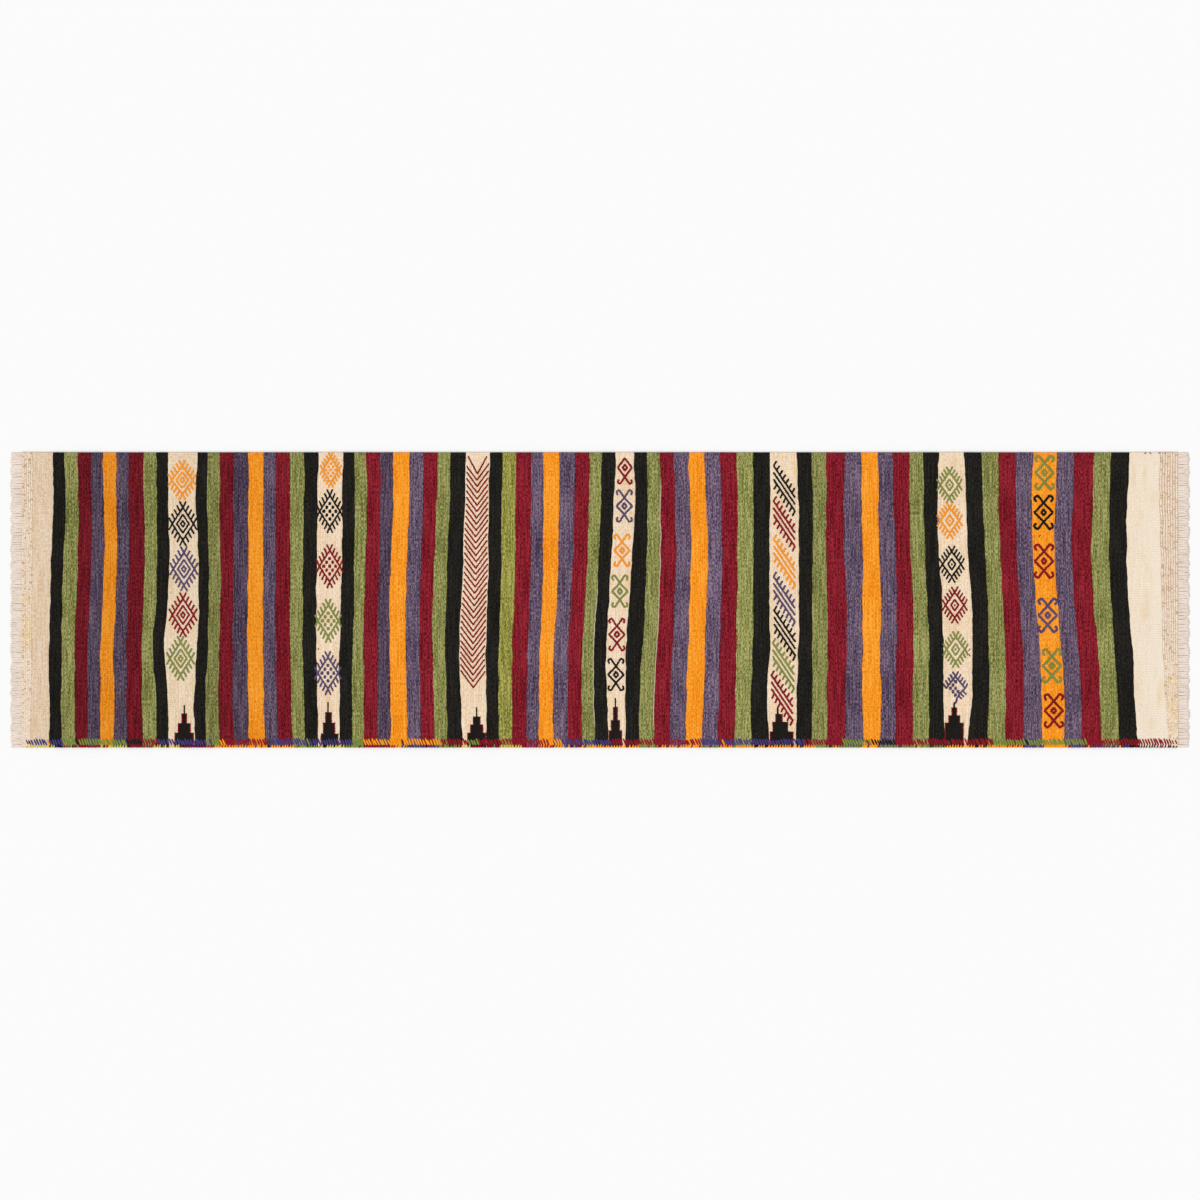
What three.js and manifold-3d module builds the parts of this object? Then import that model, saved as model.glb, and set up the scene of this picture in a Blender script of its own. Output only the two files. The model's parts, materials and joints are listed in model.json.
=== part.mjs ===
// Flat-woven wool runner, built the way it comes off the loom: dyed weft stripes packed onto a hidden
// warp core, braided end bands, fringes and an overcast binding along one long edge.
//
// Millimetres. X runs along the warps (the runner's length), Y across, Z up. The origin is on the floor
// under the middle of the runner.
//
// The cloth is parted at three fold lines, where it is creased for folding. Each quarter is a rigid panel
// and its neighbour turns about the fold line.
import * as THREE from "three";
import { mergeVertices } from "three/addons/utils/BufferGeometryUtils.js";
import Module from "manifold-3d";

// ---- driving dimensions --------------------------------------------------------------------------------

const WIDTH = 752;
const CLOTH = 3; // thickness of the woven cloth
const GAP = 0.3; // clearance left between pieces that touch
const FRINGE_LENGTH = 31.5;
const FRINGE_THICKNESS = 2;
const BRAID_WIDTHS = { left: 27, right: 44.5 };

// The weaving draft, from the left end: a cream band before, between and after seven runs of nine stripes.
const RUN_COLOURS = ["black", "green", "red", "purple", "orange", "purple", "red", "green", "black"];
const CREAM_BANDS = [51, 74.5, 63, 60.5, 45.5, 67, 64, 76.5];
const RUNS = [
  [29.5, 34, 32.5, 31, 34, 31.5, 38, 33, 30.5],
  [27, 31, 34, 37, 38.5, 32, 36.5, 36, 35.5],
  [29.5, 30, 35.5, 33.5, 41.5, 35.5, 34, 34.5, 39],
  [32, 34.5, 39, 31.5, 40.5, 40, 36.5, 32, 34.5],
  [34, 32.5, 36.5, 37, 41, 38, 42.5, 42, 44],
  [39, 36, 48, 41.5, 42.5, 38.5, 41.5, 37, 38],
  [45, 42, 46.5, 42.5, 61.5, 43.5, 50, 42.5, 50.5],
];

// Hand weaving wanders. Each row shifts one stripe boundary along X, at seven places evenly spaced from
// the +Y edge to the -Y edge. Boundary 10 r + n is the left side of stripe n of run r, and 10 r is the left
// side of the cream band before that run. Boundaries between two rows shift in proportion.
const WANDER = [
  [0, [0, 0, -1, -3, -4, -5, -6]],
  [1, [0, 2.5, -3, -7.5, -8.5, -9, -9]],
  [5, [0, 3, 5, 1, -6, -6, -6]],
  [7, [0, 0.5, 2, -2, -4.5, -4, -4]],
  [8, [0, 1, 3.5, 0, -5, -3, -1.5]],
  [9, [0, 1, 2.5, -0.5, -9, 0, -1]],
  [10, [0, 0, 3, -1, -10, -0.5, -0.5]],
  [11, [0, -4.5, 2, 3.5, -1, -9, -6.5]],
  [14, [0, -1, -1, -2, -3, -2, 0]],
  [17, [0, 0, 0.5, -1, 0, 3, 5]],
  [18, [0, -0.5, 0, -1, -0.5, 2, 6]],
  [19, [0, 0, -2, -4.5, -5, -0.5, 2.5]],
  [20, [0, -2.5, -3, -5.5, -5.5, -2, 0]],
  [21, [0, -2, -3, -6, -9.5, -9.5, -9]],
  [22, [0, 0, -0.5, -2, -6, -6, -6]],
  [23, [0, 1, -0.5, -5, -7, -7, -8]],
  [24, [0, -0.5, -3, -6, -7, -8, -8]],
  [25, [0, -1.5, -6, -10, -9.5, -7, -8]],
  [28, [0, -1.5, -6.5, -11.5, -12, -9.5, -6.5]],
  [30, [0, -3, -7, -11.5, -16, -13, -9]],
  [31, [0, -1.5, -3, -5.5, -9.5, -9.5, -7]],
  [35, [0, 0, -1, -4, -9.5, -12, -12.5]],
  [37, [0, -1, -4, -10.5, -17, -20, -19]],
  [38, [0, -1.5, -5, -11, -19, -20, -20]],
  [40, [0, -5, -10.5, -18, -24, -22.5, -18]],
  [41, [0, 4, -3.5, -11, -19.5, -20.5, -20.5]],
  [42, [0, 2, -1, -5, -12, -19, -19]],
  [43, [0, 2.5, 2, -1, -7, -14, -13]],
  [45, [0, 3, 7.5, 3, -2, -6, -8]],
  [46, [0, 4, 8.5, 5, 0, -2, -7]],
  [48, [0, 3, 3, 1.5, 0, -2.5, -5.5]],
  [50, [0, 0.5, -1.5, -1, -0.5, -8.5, -0.5]],
  [51, [0, 5, 6, 7, 5, 1.5, -1]],
  [52, [0, 2, 1.5, 1.5, 2, 0, -1]],
  [53, [0, 1, 0.5, 4.5, 5, 3, 2.5]],
  [54, [0, -2, -2, 4, 4, 1, 2]],
  [55, [0, 1, 4, 4, 3.5, 4.5, 6]],
  [56, [0, 2.5, 5.5, 8.5, 6, 9, 6]],
  [57, [0, 2.5, 6.5, 10, 10, 7.5, 6]],
  [58, [0, 0.5, 3.5, 9.5, 11, 10, 8.5]],
  [59, [0, 0.5, 4, 9, 13.5, 13, 13]],
  [60, [0, -4, 1, 9, 12, 13, 15]],
  [61, [0, 6, 11, 20, 22.5, 20, 9]],
  [62, [0, 5, 9.5, 16, 19, 19, 16]],
  [64, [0, -1.5, 1.5, 8, 17, 20, 20]],
  [65, [0, -3, 0, 7.5, 17.5, 22.5, 22.5]],
  [66, [0, -3.5, -7, 0.5, 11, 18.5, 19]],
  [68, [0, -2.5, -6, -1, 9.5, 16, 19]],
  [69, [0, -2.5, -2.5, 3, 11.5, 19, 23]],
  [70, [0, -8.5, -9, -4, 6, 12, 20]],
  [71, [0, -1, 2, 4, 7, 14, 26]],
];

const FOLDS = [-769, -19, 769]; // X of the three fold lines
const FOLD_STRIPES = [18, 38, 57]; // the stripe that each fold line runs down

const CORE_THICKNESS = 0.6; // the warps, hidden inside the wefts
const CORE_Y = [-350.2, 370.2];
const BINDING_REACH = 23; // how far the overcast stitches reach onto the cloth
const BINDING_YARN = 0.6; // thickness of one layer of overcast stitches
const FLOAT = 1.5; // width of the yarn carried along a selvedge from one stripe to its pair
const SCALLOPS = 20; // bunches of warp ends along a fringe
const SCALLOP_DEPTH = 4;

const COLOURS = {
  black: 0x1a1916,
  green: 0x808e4c,
  red: 0x731223,
  purple: 0x58486c,
  orange: 0xf7941d,
  cream: 0xebd4b2,
  warp: 0xd9cfc3,
  braid: 0xe2c7a5,
  binding: 0x6e2130,
};

// ---- derived places ------------------------------------------------------------------------------------

const HALF = WIDTH / 2;
const MID = CLOTH / 2;
const SLOT_HALF = CORE_THICKNESS / 2 + GAP;
const WEB = -HALF + BINDING_YARN + GAP; // the wefts' own -Y edge, inside the binding
const BINDING_INNER = -HALF + BINDING_REACH;
const STATIONS = 6; // spans between the places where a boundary's shift is given

const stripeWidths = [];
const stripeColours = [];
RUNS.forEach((run, r) => {
  stripeWidths.push(CREAM_BANDS[r], ...run);
  stripeColours.push("cream", ...RUN_COLOURS);
});
stripeWidths.push(CREAM_BANDS[RUNS.length]);
stripeColours.push("cream");

const wovenLength = stripeWidths.reduce((sum, width) => sum + width, 0);
const LENGTH = 2 * FRINGE_LENGTH + BRAID_WIDTHS.left + BRAID_WIDTHS.right + wovenLength;
const FRINGE_LEFT_X = -LENGTH / 2 + FRINGE_LENGTH; // where the left fringe leaves the braid
const FRINGE_RIGHT_X = LENGTH / 2 - FRINGE_LENGTH;

const boundaries = [FRINGE_LEFT_X + BRAID_WIDTHS.left];
for (const width of stripeWidths) {
  boundaries.push(boundaries.at(-1) + width);
}

// Shift of boundary k at a height y across the runner.
function wander(k, y) {
  const after = Math.max(1, WANDER.findIndex(([row]) => row >= k));
  const [lowRow, lowShifts] = WANDER[after - 1];
  const [highRow, highShifts] = WANDER[after];
  const share = (k - lowRow) / (highRow - lowRow);
  const place = THREE.MathUtils.clamp(((HALF - y) / WIDTH) * STATIONS, 0, STATIONS);
  const station = Math.min(Math.floor(place), STATIONS - 1);
  const between = place - station;
  const at = (shifts) => THREE.MathUtils.lerp(shifts[station], shifts[station + 1], between);
  return THREE.MathUtils.lerp(at(lowShifts), at(highShifts), share);
}

// One side of a stripe as points from its top (+Y) to its bottom, pushed sideways by inset.
function side(boundary, top, bottom, inset) {
  const heights = [top];
  for (let station = 1; station < STATIONS; station += 1) {
    heights.push(HALF - (station * WIDTH) / STATIONS);
  }
  heights.push(bottom);
  return heights.map((y) => new THREE.Vector2(boundary(y) + inset, y));
}

const stripeEdge = (k) => (y) => boundaries[k] + wander(k, y);
const straightEdge = (x) => () => x;

// ---- solids --------------------------------------------------------------------------------------------

const wasm = await Module();
wasm.setup();

function toSolid(geometry) {
  geometry.deleteAttribute("normal");
  geometry.deleteAttribute("uv");
  const merged = mergeVertices(geometry, 1e-4);
  return new wasm.Manifold(
    new wasm.Mesh({
      numProp: 3,
      vertProperties: new Float32Array(merged.attributes.position.array),
      triVerts: new Uint32Array(merged.index.array),
    }),
  );
}

function toGeometry(solid) {
  const mesh = solid.getMesh();
  const geometry = new THREE.BufferGeometry();
  geometry.setAttribute("position", new THREE.BufferAttribute(mesh.vertProperties, 3));
  geometry.setIndex(new THREE.BufferAttribute(mesh.triVerts, 1));
  return geometry;
}

function slab(outline, thickness) {
  return new THREE.ExtrudeGeometry(new THREE.Shape(outline), { depth: thickness, bevelEnabled: false });
}

function block([x0, x1], [y0, y1], [z0, z1]) {
  const geometry = new THREE.BoxGeometry(x1 - x0, y1 - y0, z1 - z0);
  return geometry.translate((x0 + x1) / 2, (y0 + y1) / 2, (z0 + z1) / 2);
}

// What every woven piece leaves free: the slot for the warps, and room above and below for the binding.
const wholeX = [-LENGTH, LENGTH];
const slotY = [CORE_Y[0] - GAP, CORE_Y[1] + GAP];
const notchY = [-WIDTH, BINDING_INNER + GAP];
const notchDepth = BINDING_YARN + GAP;
const weaveCutter = toSolid(block(wholeX, slotY, [MID - SLOT_HALF, MID + SLOT_HALF]))
  .add(toSolid(block(wholeX, notchY, [CLOTH - notchDepth, CLOTH + notchDepth])))
  .add(toSolid(block(wholeX, notchY, [-notchDepth, notchDepth])));

function woven(outline) {
  return toGeometry(toSolid(slab(outline, CLOTH)).subtract(weaveCutter));
}

// ---- pieces --------------------------------------------------------------------------------------------

const rug = new THREE.Group();

function addPiece(name, colour, geometry) {
  const material = new THREE.MeshStandardMaterial({ color: COLOURS[colour], roughness: 0.95, metalness: 0 });
  const mesh = new THREE.Mesh(geometry, material);
  mesh.name = name;
  rug.add(mesh);
}

// A single stripe. A float that is carried past an end of it shortens it there.
function stripeOutline(left, right, { passedAtTop = false, passedAtBottom = false } = {}) {
  const top = passedAtTop ? HALF - FLOAT - GAP : HALF;
  const bottom = passedAtBottom ? WEB + FLOAT + GAP : WEB;
  return [
    ...side(left, top, bottom, GAP / 2),
    ...side(right, top, bottom, -GAP / 2).reverse(),
  ];
}

// Two stripes of one yarn, joined by the float that carries it along a selvedge past what lies between.
function pairOutline([outerLeft, innerLeft, innerRight, outerRight], floatAtTop) {
  const outerTop = floatAtTop ? HALF : HALF - FLOAT - GAP;
  const floatY = floatAtTop ? HALF - FLOAT : WEB + FLOAT;
  const outerPath = side(outerLeft, outerTop, WEB, GAP / 2);
  const farPath = side(outerRight, outerTop, WEB, -GAP / 2).reverse();
  if (floatAtTop) {
    return [
      ...outerPath,
      ...side(innerLeft, floatY, WEB, -GAP / 2).reverse(),
      ...side(innerRight, floatY, WEB, GAP / 2),
      ...farPath,
    ];
  }
  return [
    ...outerPath,
    ...farPath,
    ...side(innerRight, outerTop, floatY, GAP / 2),
    ...side(innerLeft, outerTop, floatY, -GAP / 2).reverse(),
  ];
}

const single = (k, options, left = stripeEdge(k), right = stripeEdge(k + 1)) =>
  woven(stripeOutline(left, right, options));

// The two stripes `reach` places to each side of stripe `centre`, cut at a fold line where one is given.
function pair(centre, reach, floatAtTop, { startFold, endFold } = {}) {
  const first = centre - reach;
  const last = centre + reach;
  const edges = [
    startFold === undefined ? stripeEdge(first) : straightEdge(startFold),
    stripeEdge(first + 1),
    stripeEdge(last),
    endFold === undefined ? stripeEdge(last + 1) : straightEdge(endFold),
  ];
  return woven(pairOutline(edges, floatAtTop));
}

const PASSED_BOTH = { passedAtTop: true, passedAtBottom: true };

function addMotifBands() {
  for (let band = 1; band < RUNS.length; band += 1) {
    const centre = 10 * band;
    const startFold = FOLDS[FOLD_STRIPES.indexOf(centre - 2)];
    addPiece(`motif_band_${band}`, "cream", single(centre, PASSED_BOTH));
    addPiece(`black_weft_pair_${band}`, "black", pair(centre, 1, false));
    addPiece(`green_weft_pair_${band}`, "green", pair(centre, 2, true, { startFold }));
  }
}

function addColourRuns() {
  RUNS.forEach((_, run) => {
    const centre = 10 * run + 5;
    const endFold = FOLDS[FOLD_STRIPES.indexOf(centre + 2)];
    addPiece(`orange_weft_${run + 1}`, "orange", single(centre, PASSED_BOTH));
    addPiece(`purple_weft_pair_${run + 1}`, "purple", pair(centre, 1, false));
    addPiece(`red_weft_pair_${run + 1}`, "red", pair(centre, 2, true, { endFold }));
  });
}

// Stripes with no partner: the outermost ones, and the far half of each stripe that a fold line parts.
function addSingleStripes() {
  const last = 10 * RUNS.length;
  addPiece("cream_end_left", "cream", single(0));
  addPiece("black_weft_first", "black", single(1));
  addPiece("green_weft_first", "green", single(2));
  addPiece("green_weft_last", "green", single(last - 2));
  addPiece("black_weft_last", "black", single(last - 1));
  addPiece("cream_end_right", "cream", single(last));
  const [foldLeft, foldCentre, foldRight] = FOLDS.map(straightEdge);
  addPiece("green_weft_fold_left", "green", single(FOLD_STRIPES[0], {}, undefined, foldLeft));
  addPiece("green_weft_fold_centre", "green", single(FOLD_STRIPES[1], {}, undefined, foldCentre));
  addPiece("red_weft_fold_right", "red", single(FOLD_STRIPES[2], {}, foldRight));
}

function addBraids() {
  addPiece("braid_left", "braid", single(0, {}, straightEdge(FRINGE_LEFT_X), stripeEdge(0)));
  const lastEdge = stripeEdge(boundaries.length - 1);
  addPiece("braid_right", "braid", single(0, {}, lastEdge, straightEdge(FRINGE_RIGHT_X)));
}

// Bunches of warp ends: a comb of shallow scallops along the outer edge.
function fringe(rootX, outward) {
  const outline = [
    new THREE.Vector2(rootX + (outward * GAP) / 2, -HALF),
    new THREE.Vector2(rootX + (outward * GAP) / 2, HALF),
  ];
  for (let step = 0; step <= 2 * SCALLOPS; step += 1) {
    const reach = FRINGE_LENGTH - (step % 2 === 0 ? SCALLOP_DEPTH : 0);
    outline.push(new THREE.Vector2(rootX + outward * reach, HALF - (step * WIDTH) / (2 * SCALLOPS)));
  }
  return slab(outline, FRINGE_THICKNESS);
}

// The warps of each quarter, lying in the slot inside the wefts, and the binding over its -Y edge.
function addCoresAndBindings() {
  const parts = [FRINGE_LEFT_X, ...FOLDS, FRINGE_RIGHT_X];
  for (let quarter = 1; quarter < parts.length; quarter += 1) {
    const x = [parts[quarter - 1] + GAP / 2, parts[quarter] - GAP / 2];
    const coreZ = [MID - CORE_THICKNESS / 2, MID + CORE_THICKNESS / 2];
    addPiece(`warp_core_${quarter}`, "warp", block(x, CORE_Y, coreZ));
    const outside = toSolid(block(x, [-HALF, BINDING_INNER], [0, CLOTH]));
    const insideY = [-HALF + BINDING_YARN, 0];
    const inside = toSolid(block(wholeX, insideY, [BINDING_YARN, CLOTH - BINDING_YARN]));
    addPiece(`edge_binding_${quarter}`, "binding", toGeometry(outside.subtract(inside)));
  }
}

addMotifBands();
addColourRuns();
addSingleStripes();
addBraids();
addPiece("fringe_left", "warp", fringe(FRINGE_LEFT_X, -1));
addPiece("fringe_right", "warp", fringe(FRINGE_RIGHT_X, 1));
addCoresAndBindings();

export default rug;
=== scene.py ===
"""A hand-woven wool runner rug: weft-faced stripes, brocaded bands, fringes, end braids and an overcast edge.

Lengths in this script are millimetres until a mesh is made. X runs along the rug, which is the way its
warps run, Y across it, which is the way its wefts run, and Z up. The stripes' sides come from the frame.
"""

import json
import math

import bpy
import numpy as np
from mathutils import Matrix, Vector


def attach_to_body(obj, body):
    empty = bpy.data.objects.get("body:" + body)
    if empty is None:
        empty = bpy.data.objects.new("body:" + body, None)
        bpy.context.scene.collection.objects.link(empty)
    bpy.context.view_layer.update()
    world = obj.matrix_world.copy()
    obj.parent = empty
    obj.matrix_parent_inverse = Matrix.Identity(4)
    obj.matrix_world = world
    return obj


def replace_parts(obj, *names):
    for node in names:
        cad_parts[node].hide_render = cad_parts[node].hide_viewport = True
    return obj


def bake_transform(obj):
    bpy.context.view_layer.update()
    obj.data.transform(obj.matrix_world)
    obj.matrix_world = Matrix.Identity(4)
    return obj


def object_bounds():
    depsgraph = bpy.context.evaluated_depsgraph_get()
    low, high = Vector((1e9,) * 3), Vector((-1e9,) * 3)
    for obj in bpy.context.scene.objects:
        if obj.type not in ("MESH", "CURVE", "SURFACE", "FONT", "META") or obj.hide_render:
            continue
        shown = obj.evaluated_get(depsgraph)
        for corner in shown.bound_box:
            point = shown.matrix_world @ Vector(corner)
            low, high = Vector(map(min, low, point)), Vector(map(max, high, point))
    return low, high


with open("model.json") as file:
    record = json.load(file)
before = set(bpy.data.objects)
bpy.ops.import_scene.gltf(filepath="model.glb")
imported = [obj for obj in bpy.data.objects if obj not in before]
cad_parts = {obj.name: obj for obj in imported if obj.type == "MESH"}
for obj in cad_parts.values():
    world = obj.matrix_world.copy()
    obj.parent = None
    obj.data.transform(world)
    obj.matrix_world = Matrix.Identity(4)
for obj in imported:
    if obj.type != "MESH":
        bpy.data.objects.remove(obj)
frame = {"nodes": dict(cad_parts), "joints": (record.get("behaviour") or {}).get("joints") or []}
cad_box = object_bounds()

# ---- driving sizes ---------------------------------------------------------------------------------------

MM = 0.001
LOW, HIGH = (np.array(corner) / MM for corner in cad_box)
HALF = HIGH[1]  # the +Y selvedge
STATIONS = 6  # spans between the places where the frame gives a stripe's sides
RIBS = 170  # warps, each of which shows as a rib
RIB_PITCH = 2 * HALF / RIBS
RIB_HEIGHT = 0.28
SAMPLES = 4  # rows of vertices in each rib
COLUMN = 6.0  # spacing of vertices along a rib
FOLD_COLUMN = 1.6  # the same where the cloth folds
CLOTH = 2.7  # thickness of the cloth without its ribs
LIFT = 0.3  # the back of the cloth, over the floor
RIPPLE = 1.1  # how far the cloth lifts where it doesn't lie quite flat
EDGE = 0.9  # width of the rounded edge of a stripe
EDGE_SHARE = 0.2  # the most of a narrow stripe that one edge takes
HEM = 0.6  # half the thickness that the cloth comes down to at its two selvedges
GROOVE = 0.35  # depth of the line between two stripes
SEAM = 0.08  # half the gap between two stripes
WEB = -HALF + 0.9  # the wefts' own -Y edge, inside the binding
FOLD_REACH = 10.0  # the cloth bends this far on either side of a fold
FOLD_PART = 3 * FOLD_REACH  # pieces that run along the whole rug are parted this far from a fold
PICK = 1.7  # width of one weft thread as it shows
PICK_PHASE = 0.647  # where the first weft thread starts, as a share of its width
PLY = 1.5  # length of one turn of a plied yarn
YARN_SIDES = 6

# a boundary between two stripes wanders: seed, spacing of its knots, size
WANDER = ((100, 12, 0.8), (300, 34, 1.6))
# vertices of the frame on one boundary lie this close along the rug, and clear of a fold's own edges
SIDE_GAP = 1.0
FOLD_GAP = 1.2
# how far across the rug a station's vertices are looked for
STATION_REACH = 0.5
TOP_REACH = 2.5
FOOT_REACH = 4.0

RUN = ("black", "green", "red", "purple", "orange", "purple", "red", "green", "black")
STRIPES = 71

# ---- colours, as sRGB values: dark, middle and light wool, and how dark the first dye lot is --------------

WOOL = {
    "black": ((14, 13, 10), (26, 25, 21), (46, 42, 37), 0.82),
    "green": ((88, 92, 38), (134, 135, 74), (176, 174, 112), 0.94),
    "red": ((84, 4, 16), (128, 22, 36), (158, 44, 56), 0.66),
    "purple": ((54, 42, 64), (94, 77, 99), (138, 118, 138), 0.66),
    "orange": ((224, 124, 6), (250, 150, 26), (255, 176, 66), 0.82),
    "cream": ((222, 192, 154), (240, 214, 184), (248, 230, 208), 0.97),
}
YARN = {
    "motif_black": ((16, 14, 11), (32, 28, 24)),
    "motif_green": ((108, 120, 54), (144, 152, 80)),
    "motif_red": ((110, 8, 20), (150, 24, 38)),
    "motif_purple": ((66, 52, 86), (100, 84, 120)),
    "motif_orange": ((238, 140, 22), (255, 166, 50)),
    "fringe": ((226, 207, 190), (247, 233, 220)),
    "warp": ((196, 182, 162), (222, 210, 192)),
}
# how the dye lots of some stripes differ from their colour's own, as shares of red, green and blue light
LOTS = {
    0: (0.9, 0.9, 0.9),
    10: (0.95, 0.97, 0.96),
    12: (0.85, 0.84, 0.84),
    14: (0.77, 0.75, 0.76),
    24: (0.67, 0.64, 0.66),
    32: (1.16, 1.1, 0.76),
    46: (1.2, 1.2, 1.2),
    48: (1.13, 1.13, 1.13),
    52: (0.9, 0.9, 0.9),
}
CREAM_AT_RIGHT_END = (242, 230, 212)
RIGHT_END = (1240.0, 1420.0, 0.8)  # where along the rug that colour begins and is full, and its full share
CREAM_STAIN = (230, 194, 140)
STAIN_SPOT = (26.0, 95.0)
FIRST_LOT = (-1250.0, -500.0)  # where along the rug the first dye lot ends and the next is full
# noises that heather the wool: length and height of a spot, place in the noise, share of the mix
HEATHER = (
    (2.4, 7.5, 0.0, 0.48),
    (3.2, 90.0, 7.0, 0.31),
    (60.0, 170.0, 3.0, 0.1),
    (0.8, 3.2, 5.0, 0.11),
)
HEATHER_DARK, HEATHER_MIDDLE, HEATHER_LIGHT = 0.42, 0.5, 0.58  # levels of the mix
DYES = {
    "black": (28, 25, 26),
    "green": (128, 148, 62),
    "red": (150, 18, 40),
    "purple": (74, 62, 124),
    "orange": (255, 160, 22),
    "yellow": (214, 200, 84),
    "brown": (96, 56, 40),
    "blue": (60, 110, 130),
}


def linear(colour):
    """An sRGB colour of 0 to 255 as the linear colour that a shader takes."""
    shares = [c / 255 for c in colour]
    return [s / 12.92 if s <= 0.04045 else ((s + 0.055) / 1.055) ** 2.4 for s in shares]


# ---- the stripes' sides, read from the frame --------------------------------------------------------------

folds = sorted(frame["joints"], key=lambda joint: joint["pos_m"][0])
FOLDS = [joint["pos_m"][0] / MM for joint in folds]
WOVEN = ("weft", "cream_end", "motif_band", "braid")


def station_sides(points, top, bottom):
    """The X of every boundary between stripes, from the frame's vertices between two heights."""
    near = points[(points[:, 1] <= top) & (points[:, 1] >= bottom)]
    along = np.sort(near[:, 0])
    starts = np.concatenate([[0], np.nonzero(np.diff(along) > SIDE_GAP)[0] + 1, [len(along)]])
    middles = [along[a:b].mean() for a, b in zip(starts[:-1], starts[1:])]
    return [x for x in middles if min(abs(x - fold) for fold in FOLDS) > FOLD_GAP]


def read_sides():
    """One row for each boundary, from the left braid's outer side to the right braid's, at every station."""
    found = []
    for name, node in frame["nodes"].items():
        if any(word in name for word in WOVEN):
            flat = np.empty(len(node.data.vertices) * 3, np.float32)
            node.data.vertices.foreach_get("co", flat)
            found.append(flat.reshape(-1, 3) / MM)
    points = np.concatenate(found).astype(float)
    columns = []
    for station in range(STATIONS + 1):
        y = HALF - station * 2 * HALF / STATIONS
        top = y + (STATION_REACH if station < STATIONS else FOOT_REACH)
        bottom = y - (STATION_REACH if station > 0 else TOP_REACH)
        columns.append(station_sides(points, top, bottom))
    counts = {len(column) for column in columns}
    if counts != {STRIPES + 3}:
        raise SystemExit(f"the frame's stripes can't be read: {counts} sides")
    return np.array(columns).T


SIDES = read_sides()


def wobble(seed, y, spacing, size):
    """A seeded, hand-made unevenness along y."""
    random = np.random.default_rng(seed)
    knots = np.arange(-HALF - spacing, HALF + 2 * spacing, spacing)
    return np.interp(y, knots, random.uniform(-size, size, len(knots)))


def side(boundary, y):
    """X of a boundary at y, on a smooth curve. Boundary 0 is the first stripe's left side."""
    row = SIDES[boundary + 1]
    slopes = np.gradient(row)
    place = np.clip((HALF - np.asarray(y, float)) / (2 * HALF) * STATIONS, 0, STATIONS)
    span = np.minimum(place.astype(int), STATIONS - 1)
    t = place - span
    curve = (
        row[span] * (1 + 2 * t) * (1 - t) ** 2
        + slopes[span] * t * (1 - t) ** 2
        + row[span + 1] * t**2 * (3 - 2 * t)
        + slopes[span + 1] * t**2 * (t - 1)
    )
    for seed, spacing, size in WANDER:
        curve = curve + wobble(seed + boundary, y, spacing, size)
    return curve


# ---- the cloth's surface ----------------------------------------------------------------------------------


def ripple(x, y):
    """How far the cloth lifts off the floor at x, y."""
    long_wave = np.sin(x / 118 + 1.1 * np.sin(y / 173))
    cross_wave = np.sin(y / 91 + 0.8 * np.sin(x / 203))
    short_wave = np.sin(x / 37 + y / 61)
    return RIPPLE * 0.5 * (1 + 0.5 * long_wave + 0.35 * cross_wave + 0.15 * short_wave)


def rib(y):
    return -RIB_HEIGHT * np.cos(2 * math.pi * (HALF - y) / RIB_PITCH)


def front(x, y):
    return LIFT + CLOTH + ripple(x, y) + rib(y)


def back(x, y):
    return LIFT + ripple(x, y) - rib(y)


# ---- meshes -----------------------------------------------------------------------------------------------


def grid_quads(index):
    """Quads over a grid of vertex numbers, with rows towards -Y and columns towards +X, facing up."""
    corners = [index[:-1, :-1], index[1:, :-1], index[1:, 1:], index[:-1, 1:]]
    return np.stack(corners, -1).reshape(-1, 4)


def rim_quads(upper, lower):
    """Quads from one line of vertices to the line below it."""
    return np.stack([upper[1:], upper[:-1], lower[:-1], lower[1:]], -1)


def near_fold(low, high):
    """The number of the fold that a stretch of the rug lies across, or None."""
    for number, fold in enumerate(FOLDS):
        if low < fold + FOLD_REACH and high > fold - FOLD_REACH:
            return number
    return None


def slab(left, right, rows, lift=0.0, groove=GROOVE):
    """A closed piece of cloth between two sides, given as X at each of the rows."""
    width = np.mean(right - left)
    spacing = COLUMN if near_fold(left.min(), right.max()) is None else FOLD_COLUMN
    count = max(2, round(width / spacing))
    margin = min(EDGE / width, EDGE_SHARE)
    share = np.concatenate([[0], np.linspace(margin, 1 - margin, count + 1), [1]])
    x = left[:, None] + (right - left)[:, None] * share
    y = np.broadcast_to(rows[:, None], x.shape)
    top = front(x, y) + lift
    low = back(x, y) - lift
    top[:, [0, -1]] -= groove
    low[:, [0, -1]] += groove
    middle = (top[[0, -1]] + low[[0, -1]]) / 2
    top[[0, -1]] = middle + HEM
    low[[0, -1]] = middle - HEM
    points = np.concatenate([np.stack([x, y, z], -1).reshape(-1, 3) for z in (top, low)])
    upper = np.arange(x.size).reshape(x.shape)
    lower = upper + x.size
    quads = [
        grid_quads(upper),
        grid_quads(lower)[:, ::-1],
        rim_quads(upper[:, 0], lower[:, 0]),
        rim_quads(upper[::-1, -1], lower[::-1, -1]),
        rim_quads(upper[-1], lower[-1]),
        rim_quads(upper[0, ::-1], lower[0, ::-1]),
    ]
    return points, np.concatenate(quads)


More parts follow.
